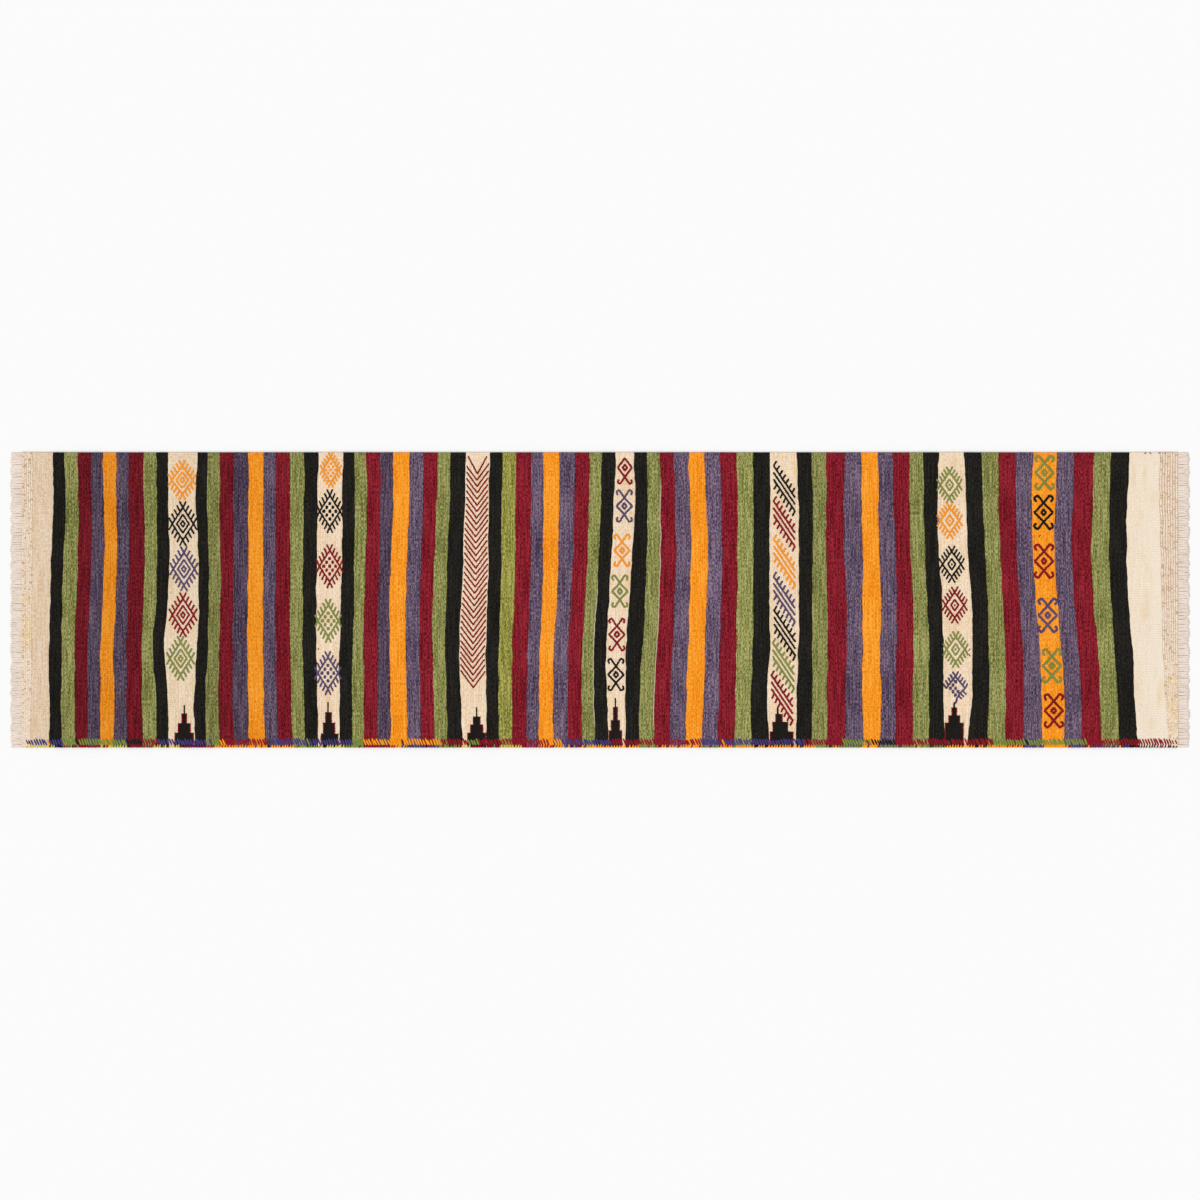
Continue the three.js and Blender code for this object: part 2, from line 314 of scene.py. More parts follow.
def yarns(paths, width, height, taper, across=(0, 0, 1)):
    """Closed six-sided tubes along paths, an array of tubes by points by XYZ, with a taper for each point."""
    paths = np.asarray(paths, float)
    steps = np.gradient(paths, axis=1)
    tangent = steps / np.maximum(np.linalg.norm(steps, axis=-1, keepdims=True), 1e-9)
    side_way = np.cross(tangent, np.asarray(across, float))
    side_way /= np.maximum(np.linalg.norm(side_way, axis=-1, keepdims=True), 1e-9)
    up = np.cross(side_way, tangent)
    taper = np.asarray(taper, float)[..., None, None]
    angles = np.arange(YARN_SIDES) * 2 * math.pi / YARN_SIDES
    ring = (
        side_way[:, :, None, :] * np.cos(angles)[:, None] * np.reshape(width, (-1, 1, 1, 1))
        + up[:, :, None, :] * np.sin(angles)[:, None] * np.reshape(height, (-1, 1, 1, 1))
    )
    points = paths[:, :, None, :] + ring * taper / 2
    count, length = paths.shape[:2]
    index = np.arange(count * length * YARN_SIDES).reshape(count, length, YARN_SIDES)
    turned = np.roll(index, -1, axis=2)
    walls = np.stack([index[:, :-1], turned[:, :-1], turned[:, 1:], index[:, 1:]], -1)
    first = index[:, 0]
    last = index[:, -1]
    caps = [first[:, [0, 3, 2, 1]], first[:, [0, 5, 4, 3]]]
    caps += [last[:, [0, 1, 2, 3]], last[:, [0, 3, 4, 5]]]
    return points.reshape(-1, 3), np.concatenate([walls.reshape(-1, 4), *caps])


def outward(points, quads):
    """The quads, turned over if the closed shape would face inwards."""
    a, b, c, d = (points[quads[:, i]] for i in range(4))
    volume = np.einsum("ij,ij->", a, np.cross(b, c)) + np.einsum("ij,ij->", a, np.cross(c, d))
    return quads if volume > 0 else quads[:, ::-1]


def joined(parts):
    """Several shapes of points and quads as one."""
    points = []
    quads = []
    start = 0
    for part_points, part_quads in parts:
        points.append(part_points)
        quads.append(part_quads + start)
        start += len(part_points)
    return np.concatenate(points), np.concatenate(quads)


def piece(name, shape, slot, dye=None):
    """A named object of this shape, with its slot's material and a UV map that is its place in the cloth."""
    points, quads = shape
    quads = outward(points - points.mean(axis=0), quads)
    metres = (points * MM).astype(np.float32)
    mesh = bpy.data.meshes.new(name)
    mesh.vertices.add(len(points))
    mesh.vertices.foreach_set("co", metres.ravel())
    mesh.loops.add(quads.size)
    mesh.loops.foreach_set("vertex_index", quads.ravel().astype(np.int32))
    mesh.polygons.add(len(quads))
    mesh.polygons.foreach_set("loop_start", np.arange(0, quads.size, 4, dtype=np.int32))
    mesh.update(calc_edges=True)
    mesh.polygons.foreach_set("use_smooth", np.ones(len(quads), bool))
    place = mesh.uv_layers.new(name="cloth")
    place.data.foreach_set("uv", metres[quads.ravel(), :2].ravel())
    if dye is not None:
        layer = mesh.attributes.new("dye", "FLOAT_COLOR", "POINT")
        layer.data.foreach_set("color", dye.astype(np.float32).ravel())
    mesh.materials.append(MATERIALS[slot])
    made = bpy.data.objects.new(name, mesh)
    bpy.context.scene.collection.objects.link(made)
    return made


def attach(made):
    """The piece rides on its own quarter, or, if it lies across a fold, stays where it is with its transform
    applied.
    """
    along = [corner[0] / MM for corner in made.bound_box]
    number = near_fold(min(along), max(along))
    if number is None:
        quarter = 1 + sum(fold < sum(along) / len(along) for fold in FOLDS)
        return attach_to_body(made, f"quarter_{quarter}")
    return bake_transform(made)


# ---- materials --------------------------------------------------------------------------------------------

GLOSS = 0.08
SHEEN_ROUGHNESS = 0.5
WHOLE = 4000.0  # added to a count of threads, so that it's never below nought


class Nodes:
    """A material's node tree, with short calls for the nodes that the wool is made of."""

    def __init__(self, name):
        self.material = bpy.data.materials.new(name)
        self.material.use_nodes = True
        self.tree = self.material.node_tree
        self.shader = self.tree.nodes["Principled BSDF"]

    def link(self, source, socket):
        if isinstance(source, bpy.types.NodeSocket):
            self.tree.links.new(source, socket)
        else:
            socket.default_value = source

    def math(self, operation, a, b=0.0):
        node = self.tree.nodes.new("ShaderNodeMath")
        node.operation = operation
        self.link(a, node.inputs[0])
        self.link(b, node.inputs[1])
        return node.outputs[0]

    def place(self):
        """The piece's place in the cloth, along and across it, in millimetres."""
        uv = self.tree.nodes.new("ShaderNodeUVMap")
        uv.uv_map = "cloth"
        parts = self.tree.nodes.new("ShaderNodeSeparateXYZ")
        self.tree.links.new(uv.outputs[0], parts.inputs[0])
        return [self.math("MULTIPLY", parts.outputs[i], 1 / MM) for i in (0, 1)]

    def noise(self, along, across, length, height, detail=2.0, shift=0.0):
        """Smooth noise of 0 to 1 whose spots are this long and high."""
        vector = self.tree.nodes.new("ShaderNodeCombineXYZ")
        self.link(self.math("DIVIDE", along, length), vector.inputs[0])
        self.link(self.math("DIVIDE", across, height), vector.inputs[1])
        vector.inputs[2].default_value = shift
        node = self.tree.nodes.new("ShaderNodeTexNoise")
        node.inputs["Scale"].default_value = 1.0
        node.inputs["Detail"].default_value = detail
        self.tree.links.new(vector.outputs[0], node.inputs["Vector"])
        return node.outputs["Fac"]

    def ramp(self, value, low, high, start=0.0, end=1.0):
        """Value from low..high turned into start..end, and held there outside it."""
        node = self.tree.nodes.new("ShaderNodeMapRange")
        self.link(value, node.inputs["Value"])
        for name, number in zip(("From Min", "From Max", "To Min", "To Max"), (low, high, start, end)):
            node.inputs[name].default_value = number
        return node.outputs["Result"]

    def blend(self, share, a, b, kind="MIX"):
        node = self.tree.nodes.new("ShaderNodeMix")
        node.data_type = "RGBA"
        node.blend_type = kind
        self.link(share, node.inputs["Factor"])
        self.link(a if isinstance(a, bpy.types.NodeSocket) else (*a, 1.0), node.inputs["A"])
        self.link(b if isinstance(b, bpy.types.NodeSocket) else (*b, 1.0), node.inputs["B"])
        return node.outputs["Result"]

    def darken(self, colour, share):
        """The colour times a share of 0 to 1."""
        grey = self.tree.nodes.new("ShaderNodeCombineXYZ")
        for i in range(3):
            self.link(share, grey.inputs[i])
        return self.blend(1.0, colour, grey.outputs[0], "MULTIPLY")

    def dye(self):
        """The colour that the piece carries at each of its points."""
        node = self.tree.nodes.new("ShaderNodeAttribute")
        node.attribute_name = "dye"
        return node.outputs["Color"]

    def bump(self, height, distance, strength):
        node = self.tree.nodes.new("ShaderNodeBump")
        node.inputs["Strength"].default_value = strength
        node.inputs["Distance"].default_value = distance * MM
        self.link(height, node.inputs["Height"])
        self.tree.links.new(node.outputs["Normal"], self.shader.inputs["Normal"])

    def finish(self, colour, roughness, sheen):
        self.link(colour, self.shader.inputs["Base Color"])
        self.link(roughness, self.shader.inputs["Roughness"])
        self.shader.inputs["Specular IOR Level"].default_value = GLOSS
        self.shader.inputs["Sheen Weight"].default_value = sheen
        self.shader.inputs["Sheen Roughness"].default_value = SHEEN_ROUGHNESS
        return self.material


def hump(nodes, value):
    """A round hump of 0 to 1 over each whole number of the value."""
    part = nodes.math("FRACT", value)
    rest = nodes.math("SUBTRACT", 1.0, part)
    return nodes.math("SQRT", nodes.math("MULTIPLY", nodes.math("MULTIPLY", part, rest), 4.0))


def weave(nodes, along, across):
    """The height of weft threads that pass over every other warp, 0 between threads and 1 on a thread. The
    wool's painted shade and painted highlight follow it.
    """
    wander = nodes.noise(along, across, 9.0, 14.0)
    ribs = nodes.math("DIVIDE", nodes.math("SUBTRACT", HALF, across), RIB_PITCH)
    odd = nodes.math("MULTIPLY", nodes.math("MODULO", nodes.math("FLOOR", ribs), 2.0), 0.5)
    picks = nodes.math("ADD", nodes.math("DIVIDE", along, PICK), odd)
    picks = nodes.math("ADD", picks, nodes.math("MULTIPLY", wander, 1.5))
    thread = hump(nodes, nodes.math("ADD", picks, WHOLE + PICK_PHASE))
    return nodes.math("MULTIPLY", thread, hump(nodes, ribs))


def wool(name, dark, middle, light, first_lot):
    """Weft-faced wool: heathered threads, streaks along the weft, dye lots that change along the rug, and
    painted shade between the threads with a painted highlight on them.
    """
    nodes = Nodes(name)
    along, across = nodes.place()
    height = weave(nodes, along, across)
    mixed = 0.0
    for spot_length, spot_height, shift, share in HEATHER:
        spots = nodes.noise(along, across, spot_length, spot_height, shift=shift)
        mixed = nodes.math("ADD", mixed, nodes.math("MULTIPLY", spots, share))
    darker = nodes.ramp(mixed, HEATHER_DARK, HEATHER_MIDDLE)
    lighter = nodes.ramp(mixed, HEATHER_MIDDLE, HEATHER_LIGHT)
    colour = nodes.blend(lighter, nodes.blend(darker, linear(dark), linear(middle)), linear(light))
    if name == "cream":
        begin, full, most = RIGHT_END
        right_end = nodes.ramp(along, begin, full, 0.0, most)
        colour = nodes.blend(right_end, colour, linear(CREAM_AT_RIGHT_END))
        spots = nodes.noise(along, across, *STAIN_SPOT, shift=9.0)
        colour = nodes.blend(nodes.ramp(spots, 0.55, 0.75, 0.0, 0.55), colour, linear(CREAM_STAIN))
    lot = nodes.ramp(along, *FIRST_LOT, first_lot, 1.0)
    # painted shade where the threads part and a painted highlight on their crowns, from the weave's height
    painted_gap_shade = nodes.ramp(height, 0.0, 0.5, 0.72, 1.06)
    colour = nodes.darken(colour, nodes.math("MULTIPLY", lot, painted_gap_shade))
    colour = nodes.blend(1.0, colour, nodes.dye(), "MULTIPLY")
    nodes.bump(height, 0.5, 0.8)
    return nodes.finish(colour, nodes.ramp(height, 0.0, 1.0, 0.97, 0.86), 0.04)


def twist(nodes, along, across):
    """The slanting strands of a twisted yarn, 0 between strands and 1 on a strand. The yarns' painted shade
    follows it.
    """
    slanted = nodes.math("ADD", along, nodes.math("MULTIPLY", across, 0.8))
    return hump(nodes, nodes.math("ADD", nodes.math("DIVIDE", slanted, PLY), WHOLE))


def yarn(name, dark, light):
    """A plied wool or cotton yarn of one colour, with painted shade between its strands."""
    nodes = Nodes(name)
    along, across = nodes.place()
    strands = twist(nodes, along, across)
    fluff = nodes.noise(along, across, 2.4, 2.4, detail=3.0)
    stain = nodes.noise(along, across, 40.0, 60.0, shift=2.0)
    mixed = nodes.math("ADD", nodes.math("MULTIPLY", fluff, 0.65), nodes.math("MULTIPLY", stain, 0.35))
    colour = nodes.blend(nodes.ramp(mixed, 0.36, 0.62), linear(dark), linear(light))
    # painted shade between the strands
    colour = nodes.darken(colour, nodes.ramp(strands, 0.0, 0.7, 0.8, 1.0))
    nodes.bump(strands, 0.3, 0.6)
    return nodes.finish(colour, nodes.ramp(strands, 0.0, 1.0, 0.95, 0.85), 0.05)


def dyed_yarn(name):
    """A plied yarn whose colour changes from stitch to stitch, with painted shade between its strands."""
    nodes = Nodes(name)
    along, across = nodes.place()
    strands = twist(nodes, along, across)
    fluff = nodes.noise(along, across, 2.2, 2.2, detail=3.0)
    # painted shade between the strands, times the yarn's own uneven tone from the fluff
    painted_groove_shade = nodes.ramp(strands, 0.0, 0.7, 0.75, 1.0)
    shade = nodes.math("MULTIPLY", nodes.ramp(fluff, 0.3, 0.7, 0.78, 1.2), painted_groove_shade)
    nodes.bump(strands, 0.3, 0.6)
    colour = nodes.darken(nodes.dye(), shade)
    return nodes.finish(colour, nodes.ramp(strands, 0.0, 1.0, 0.95, 0.85), 0.05)


MATERIALS = {slot: wool(slot, *look) for slot, look in WOOL.items()}
MATERIALS.update({slot: yarn(slot, *look) for slot, look in YARN.items()})
MATERIALS.update({slot: dyed_yarn(slot) for slot in ("binding", "braid")})

# ---- the woven stripes ------------------------------------------------------------------------------------

LAST_ROW = 0.3  # the last row but one stays this far from the wefts' own edge
ROWS = HALF - np.arange(RIBS * SAMPLES + 1) * RIB_PITCH / SAMPLES
CLOTH_ROWS = np.append(ROWS[ROWS > WEB + LAST_ROW], WEB)
SAME_DYE = (1.0, 1.0, 1.0)


def stripe_colour(number):
    return "cream" if number % 10 == 0 else RUN[number % 10 - 1]


def stripe_nodes(number):
    """The frame's nodes that a stripe stands for. Stripes 1 to 9 are the first run, 11 to 19 the second."""
    run, place = divmod(number, 10)
    if place == 0:
        return [{0: "cream_end_left", 7: "cream_end_right"}.get(run, f"motif_band_{run}")]
    if place == 5:
        return [f"orange_weft_{run + 1}"]
    colour = stripe_colour(number)
    if colour in ("purple", "red"):
        pair = run + 1
    else:
        pair = run if place < 5 else run + 1
    named = f"{colour}_weft_pair_{pair}"
    if named not in frame["nodes"]:
        named = f"{colour}_weft_{'first' if pair == 0 else 'last'}"
    return [named]


FOLD_NODES = {18: "green_weft_fold_left", 38: "green_weft_fold_centre", 57: "red_weft_fold_right"}


def make_stripes():
    """Every stripe, from end to end, each a sheet of its own colour that meets the next."""
    made = {}
    for number in range(STRIPES):
        left = side(number, CLOTH_ROWS) + SEAM
        right = side(number + 1, CLOTH_ROWS) - SEAM
        colour = stripe_colour(number)
        shape = slab(left, right, CLOTH_ROWS)
        lot = np.tile((*LOTS.get(number, SAME_DYE), 1.0), (len(shape[0]), 1))
        stripe = piece(f"stripe_{number:02d}_{colour}", shape, colour, lot)
        attach(stripe)
        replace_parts(stripe, *stripe_nodes(number))
        if number in FOLD_NODES:
            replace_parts(stripe, FOLD_NODES[number])
        width = float(np.mean(right - left)) * MM
        made[number] = (stripe, width, (CLOTH_ROWS[0] - CLOTH_ROWS[-1]) * MM)
    return made


stripes = make_stripes()

# ---- brocade: short floats of yarn over the cloth, front and back -----------------------------------------

FLOAT_TAPER = (0.3, 0.85, 1.0, 0.85, 0.3)
FLOAT_VERTICES = len(FLOAT_TAPER) * YARN_SIDES
FLOAT_LENGTH = 6.6
FLOAT_STEP = 3.7
FLOAT_DIP = 0.35  # how far a float's ends go down into the cloth
FRONT_THICK = 1.6
FRONT_LIFT = 0.4
BACK_THICK = 1.0
BACK_LIFT = -0.12
BACK_LENGTH = 1.15  # the floats behind the cloth, as shares of those in front
BACK_WIDTH = 0.9


def straight(ends_a, ends_b):
    """Straight paths from one set of ends to the other, with a point for each value of a float's taper."""
    share = np.linspace(0, 1, len(FLOAT_TAPER))[None, :, None]
    return ends_a[:, None, :] * (1 - share) + ends_b[:, None, :] * share


def float_shape(centres, angles, length, width, thick, surface, lift):
    """Floats that lie on a surface of the cloth, front or back, at these places and angles."""
    x, y = centres.T
    out = 1 if surface is front else -1
    half = np.stack([np.cos(angles), np.sin(angles)], -1) * np.reshape(length, (-1, 1)) / 2
    z = surface(x, y) - rib(y) * out + lift
    start = np.column_stack([centres - half, z])
    end = np.column_stack([centres + half, z])
    paths = straight(start, end)
    paths[:, [0, -1], 2] -= FLOAT_DIP * out
    return yarns(paths, width, thick, FLOAT_TAPER)


def along_lines(segments):
    """Places and directions of the floats that draw a set of straight lines."""
    places = []
    angles = []
    for (x0, y0), (x1, y1) in segments:
        count = max(1, round(math.hypot(x1 - x0, y1 - y0) / FLOAT_STEP))
        share = (np.arange(count) + 0.5) / count
        places.append(np.column_stack([x0 + (x1 - x0) * share, y0 + (y1 - y0) * share]))
        angles.append(np.full(count, math.atan2(y1 - y0, x1 - x0)))
    return np.concatenate(places), np.concatenate(angles)


def brocade(segments, width, seed):
    """Floats along the lines on the front, and longer, looser ones behind them."""
    places, angles = along_lines(segments)
    random = np.random.default_rng(seed)
    places = places + random.normal(0, 0.25, places.shape)
    angles = angles + random.normal(0, 0.08, len(angles))
    widths = width * random.uniform(0.88, 1.12, len(angles))
    lengths = FLOAT_LENGTH * random.uniform(0.9, 1.1, len(angles))
    in_front = float_shape(places, angles, lengths, widths, FRONT_THICK, front, FRONT_LIFT)
    lengths = lengths * BACK_LENGTH
    widths = widths * BACK_WIDTH
    return joined([in_front, float_shape(places, angles, lengths, widths, BACK_THICK, back, BACK_LIFT)])


# ---- motifs, as lines about their own middle --------------------------------------------------------------


ALL_CORNERS = ((1, 1), (1, -1), (-1, 1), (-1, -1))
LOWER_CORNERS = ((1, -1), (-1, -1))
UPPER_CORNERS = ((1, 1), (-1, 1))


def ring(across, up):
    tips = [(0, up), (across, 0), (0, -up), (-across, 0), (0, up)]
    return list(zip(tips, tips[1:]))


def ticks(across, up, count, reach, rise, corners=ALL_CORNERS):
    """Short lines out from the four sides of a ring, which make a V at each tip."""
    lines = []
    for sx, sy in corners:
        for i in range(count + 1):
            share = i / count
            x, y = sx * across * share, sy * up * (1 - share)
            lines.append(((x, y), (x + sx * reach, y + sy * rise)))
    return lines


def nested_diamond(up=41):
    return ring(27, up) + ring(15.5, up * 0.57) + ring(5.5, up * 0.2) + ticks(27, up, 4, 8, 15)


def lozenges(across=7.6, up=9.8):
    """Nine small lozenges, one, two, three, two and one in a row."""
    lines = []
    for i in range(-2, 3):
        for j in range(-2, 3):
            if abs(i) + abs(j) <= 2 and (i + j) % 2 == 0:
                x, y = i * across, j * up
                lines += [((x + s, y - 2.8), (x + s, y + 2.8)) for s in (-1.2, 1.2)]
    return lines


def lattice_diamond(size=1.0):
    lines = ring(26, 40) + lozenges() + ticks(26, 40, 4, 7, 15)
    return [((a * size, b * size), (c * size, d * size)) for (a, b), (c, d) in lines]


def small_diamond():
    return ring(23.5, 32) + ring(9.5, 14.5) + [((0, -1), (0, 1))] + ticks(23.5, 32, 4, 8, 14)


def hooked_diamond(across, up, arm, rise, hook, corners=ALL_CORNERS):
    """A diamond whose sides run on past its tips and curl back."""
    lines = ring(across, up) + ring(6.0, 7.6)
    for sx, sy in corners:
        path = [(0, up), (arm, up + rise), (arm + hook, up + rise - 0.6 * hook)]
        path += [(arm + hook, up + rise - 1.3 * hook), (arm + 0.5 * hook, up + rise - 1.9 * hook)]
        points = [(sx * x, sy * y) for x, y in path]
        lines += list(zip(points, points[1:]))
    return lines


def comb_pair(reach=27, drop=40, apart=17.5, teeth=7):
    """Three slanting lines, with teeth up from the first and down from the last."""
    lines = [((-reach, drop + shift), (reach, -drop + shift)) for shift in (apart, 0, -apart)]
    for i in range(teeth):
        for share, shift, tip in ((i / teeth, apart, (7, 11)), ((i + 1) / teeth, -apart, (-6, -12.5))):
            x = reach * (2 * share - 1)
            y = drop * (1 - 2 * share) + shift
            lines.append(((x, y), (x + tip[0], y + tip[1])))
    return lines


def half_diamond():
    """The upper half of a diamond with ticks, lozenges inside it, and one side that runs on downwards."""
    lines = ring(24, 30)[:1] + ring(24, 30)[3:]
    lines += ticks(24, 30, 4, 7, 12, UPPER_CORNERS)
    lines += lozenges(6.5, 8.5)[:14]
    arm = [(24, 0), (12, -12), (4, -24), (0, -38)]
    lines += list(zip(arm, arm[1:]))
    lines += [((x, y), (x + 9, y - 9)) for x, y in ((18, -6), (12, -12), (7, -18))]
    return lines


SMALL_HOOK = dict(across=20, up=21, arm=13, rise=20, hook=6.5)
WIDE_HOOK = dict(across=23.5, up=24, arm=15, rise=19, hook=8)

# band: how far its motifs sit from the band's middle, their lines, and each one's colour and middle
MOTIFS = {
    10: (0, nested_diamond(), [("black", 194), ("purple", 79), ("red", -38), ("green", -149)]),
    20: (0, lattice_diamond(), [("black", 226), ("red", 86), ("green", -53), ("purple", -186)]),
    40: (
        0,
        hooked_diamond(**SMALL_HOOK),
        [("purple", 239), ("orange", 126), ("green", 22), ("red", -88), ("black", -190)],
    ),
    50: (
        0,
        comb_pair(),
        [
            ("black", 284), ("red", 194), ("orange", 97), ("purple", 2),
            ("black", -84), ("green", -167), ("red", -249),
        ],
    ),
    60: (
        -6,
        small_diamond(),
        [("green", 293), ("orange", 202), ("black", 91), ("red", -13), ("green", -126)],
    ),
    65: (
        0,
        hooked_diamond(**WIDE_HOOK),
        [("green", 324), ("black", 223), ("red", 99), ("purple", -39), ("green", -168), ("red", -282)],
    ),
}
# the motifs that differ from the rest of their band: band, colour, middle, lines
ODD_MOTIFS = (
    (10, "orange", 305, nested_diamond(up=35)),
    (20, "orange", 331, lattice_diamond(0.8)),
    (40, "red", 337, hooked_diamond(18, 24, 12, 18, 6, LOWER_CORNERS)),
    (60, "purple", -225, half_diamond()),
)
CHEVRON_BAND = 30
CHEVRON_RISE = 42  # how far above its point the band's width is measured
FIRST_CHEVRON = (24, 1.85)  # half its width and its slope
MOTIF_YARN = {30: 4.5, 40: 5.8, 50: 5.6, 65: 6.8}  # width of the floats, where it isn't the usual one
USUAL_YARN = 5.2


def band_middle(number, y):
    return float(side(number, y) + side(number + 1, y)) / 2


def chevrons(count=35, first=321, pitch=16.0, usual_slope=1.36, clear=3):
    """A column of Vs from one side of the band to the other. The first one is narrow and steep."""
    lines = []
    for i in range(count):
        apex = first - i * pitch
        middle = band_middle(CHEVRON_BAND, apex)
        widest, slope = FIRST_CHEVRON if i == 0 else (HALF, usual_slope)
        for sign, edge in ((-1, CHEVRON_BAND), (1, CHEVRON_BAND + 1)):
            reach = min(abs(float(side(edge, apex + CHEVRON_RISE)) - middle) - clear, widest)
            lines.append(((middle + sign * reach, apex + reach * slope), (middle, apex)))
    return lines


def placed(lines, number, y, shift):
    """The lines moved to their band, with their middle at y."""
    x = band_middle(number, y) + shift
    return [((a + x, b + y), (c + x, d + y)) for (a, b), (c, d) in lines]


def make_motifs():
    """One piece for each colour in a band."""
    made = {}
    drawn = {(CHEVRON_BAND, "red"): chevrons()}
    for number, colour, y, lines in ODD_MOTIFS:
        drawn[number, colour] = placed(lines, number, y, MOTIFS[number][0])
    for number, (shift, lines, places) in MOTIFS.items():
        for colour, y in places:
            drawn.setdefault((number, colour), []).extend(placed(lines, number, y, shift))
    for (number, colour), lines in drawn.items():
        shape = brocade(lines, MOTIF_YARN.get(number, USUAL_YARN), seed=number)
        motif = piece(f"brocade_{number:02d}_{colour}", shape, f"motif_{colour}")
        made.setdefault(number, []).append(attach(motif))
    return made


motif_pieces = make_motifs()

# ---- stepped towers at the foot of each brocaded band -----------------------------------------------------

# band: how far the tower sits from the band's middle, how far its tip leans, the top and width of each step
TOWERS = {
    10: (7, 0, [(-266, 4), (-289, 12), (-314, 31), (-338, 47)]),
    20: (2, -4, [(-258, 4), (-286, 15), (-312, 29), (-340, 43)]),
    30: (6, 0, [(-271, 4), (-297, 17), (-317, 31), (-338, 46)]),
    40: (-4, 0, [(-248, 4), (-273, 10), (-306, 21), (-332, 32)]),
    50: (-2, -10, [(-271, 5), (-290, 17), (-310, 38), (-335, 58)]),
    60: (-6, 0, [(-258, 5), (-274, 12), (-294, 28), (-312, 46)]),
}
TOWER_FOOT = -330  # where the band's middle is taken
TOWER_LIFT = 0.25
TOWER_GROOVE = 0.2
TOWER_YARN = 2.8
TOWER_TIP = 4  # a step with half this width or less is a bare point


def make_towers():
    """A tower is cloth of black weft in steps, with a red float down the side of each step."""
    made = {}
    for number, (shift, lean, steps) in TOWERS.items():
        tops = [top for top, width in steps]
        halves = np.array([width for top, width in steps]) / 2
        middles = band_middle(number, TOWER_FOOT) + shift + lean * np.linspace(1, 0, len(steps))
        rows = CLOTH_ROWS[CLOTH_ROWS <= tops[0]]
        step = np.searchsorted(-np.array(tops), -rows, side="right") - 1
        left = (middles - halves)[step] + wobble(number, rows, 5, 0.5)
        right = (middles + halves)[step] + wobble(number + 5, rows, 5, 0.5)
        outline = []
        for top, bottom, middle, half in zip(tops, tops[1:] + [WEB + 3], middles, halves):
            if half > TOWER_TIP:
                outline += [((middle + s * half, top), (middle + s * half, bottom)) for s in (-1, 1)]
        shape = slab(left, right, rows, TOWER_LIFT, TOWER_GROOVE)
        tower = attach(piece(f"tower_{number:02d}", shape, "motif_black"))
        shape = brocade(outline, TOWER_YARN, seed=number)
        edge = attach(piece(f"tower_edge_{number:02d}", shape, "motif_red"))
        made[number] = [tower, edge]
    return made


for number, pieces in make_towers().items():
    motif_pieces.setdefault(number, []).extend(pieces)

# ---- fringes: the warps' ends, in small bunches -----------------------------------------------------------

SCALLOPS = 20
SCALLOP_DEPTH = 4.0
FRINGE_YARN = 5.0  # width of a warp end where it opens out
FRINGE_THICK = 1.5
FRINGE_TAPER = (0.8, 1, 1, 1, 1, 1, 1, 0.95, 0.5)
FRINGE_REST = 1.1  # height of the warp ends' middles over the floor
FRINGE_WAVE = 0.45
FRINGE_UNDER = 3.0  # how far they reach in under the braid
FRINGE_INSIDE = 0.3  # how far their tips stay inside the rug's ends


def fringe_shape(inner, outer, seed):
    """Loose warp ends from the braid to the rug's end, drawn together in uneven bunches."""
    random = np.random.default_rng(seed)
    start_y = HALF - (np.arange(RIBS) + 0.5) * RIB_PITCH
    bunch = np.cumsum(random.uniform(0, 1, RIBS) < 0.3)
    middles = np.array([start_y[bunch == own].mean() for own in bunch])
    drawn = (middles - start_y) * random.uniform(0.05, 0.16, RIBS)
    phase = (HALF - start_y) / (2 * HALF) * SCALLOPS
    hollow = np.abs(np.sin(math.pi * (phase + 0.25 * np.sin(phase * 1.7 + seed))))
    tip = outer - np.sign(outer) * (SCALLOP_DEPTH * (1 - hollow) + random.uniform(0, 1.2, RIBS))
    share = np.linspace(0, 1, len(FRINGE_TAPER))
    x = inner + (tip - inner)[:, None] * share
    sway = random.uniform(-0.9, 0.9, (RIBS, 1)) * np.sin(share * math.pi * 1.3)
    y = start_y[:, None] + drawn[:, None] * share**1.5 + sway
    y = np.clip(y, -HALF + FRINGE_YARN / 2, HALF - FRINGE_YARN / 2)
    z = FRINGE_REST + FRINGE_WAVE * np.sin(share * 5 + random.uniform(0, 6, (RIBS, 1)))
    paths = np.stack([x, y, z], -1)
    return yarns(paths, FRINGE_YARN * random.uniform(0.9, 1.1, RIBS), FRINGE_THICK, FRINGE_TAPER)


def make_fringe(name, braid_side, rug_end, seed):
    inwards = -math.copysign(1, rug_end)
    inner = braid_side + FRINGE_UNDER * inwards
    outer = rug_end + FRINGE_INSIDE * inwards
    fringe = attach(piece(f"{name}_ends", fringe_shape(inner, outer, seed), "fringe"))
    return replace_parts(fringe, name)


fringes = [
    make_fringe("fringe_left", float(np.mean(SIDES[0])), LOW[0], 11),
    make_fringe("fringe_right", float(np.mean(SIDES[-1])), HIGH[0], 12),
]

# ---- end braids: columns of slanting knots ----------------------------------------------------------------

BRAID_DYES = ((242, 223, 201), (241, 219, 195), (237, 211, 185), (245, 230, 211))
BRAID_DARK = (212, 178, 144)
BRAID_GROUND = (214, 186, 154)
BRAID_STAIN = (238, 208, 160)
BRAID_COLUMN = 5.4
KNOT_LENGTH = 7.4
KNOT_WIDTH = 4.3
KNOT_THICK = 1.5
KNOT_LEAN = 52  # degrees
KNOT_PITCH = RIB_PITCH * 0.82
BRAID_SINK = 0.45  # how far the braid's ground lies below the cloth's surface


def braid_dyes(rows, random, edge_column, stain_middle):
    """A colour for each knot of a column: undyed wool, browner at the edge, with one yellowed stretch."""
    count = len(rows)
    tones = np.array([linear(c) for c in BRAID_DYES])[random.integers(0, len(BRAID_DYES), count)]
    stained = (random.uniform(0, 1, count) < 0.4) & (np.abs(rows - stain_middle) < 75)
    tones[stained] = linear(BRAID_STAIN)
    tones[random.uniform(0, 1, count) < (0.2 if edge_column else 0.06)] = linear(BRAID_DARK)
    return tones


def outer_side(row, y):
    """X of a braid's outer side, which is a row of SIDES."""
    return np.interp(-np.asarray(y, float), np.linspace(-HALF, HALF, STATIONS + 1), SIDES[row])


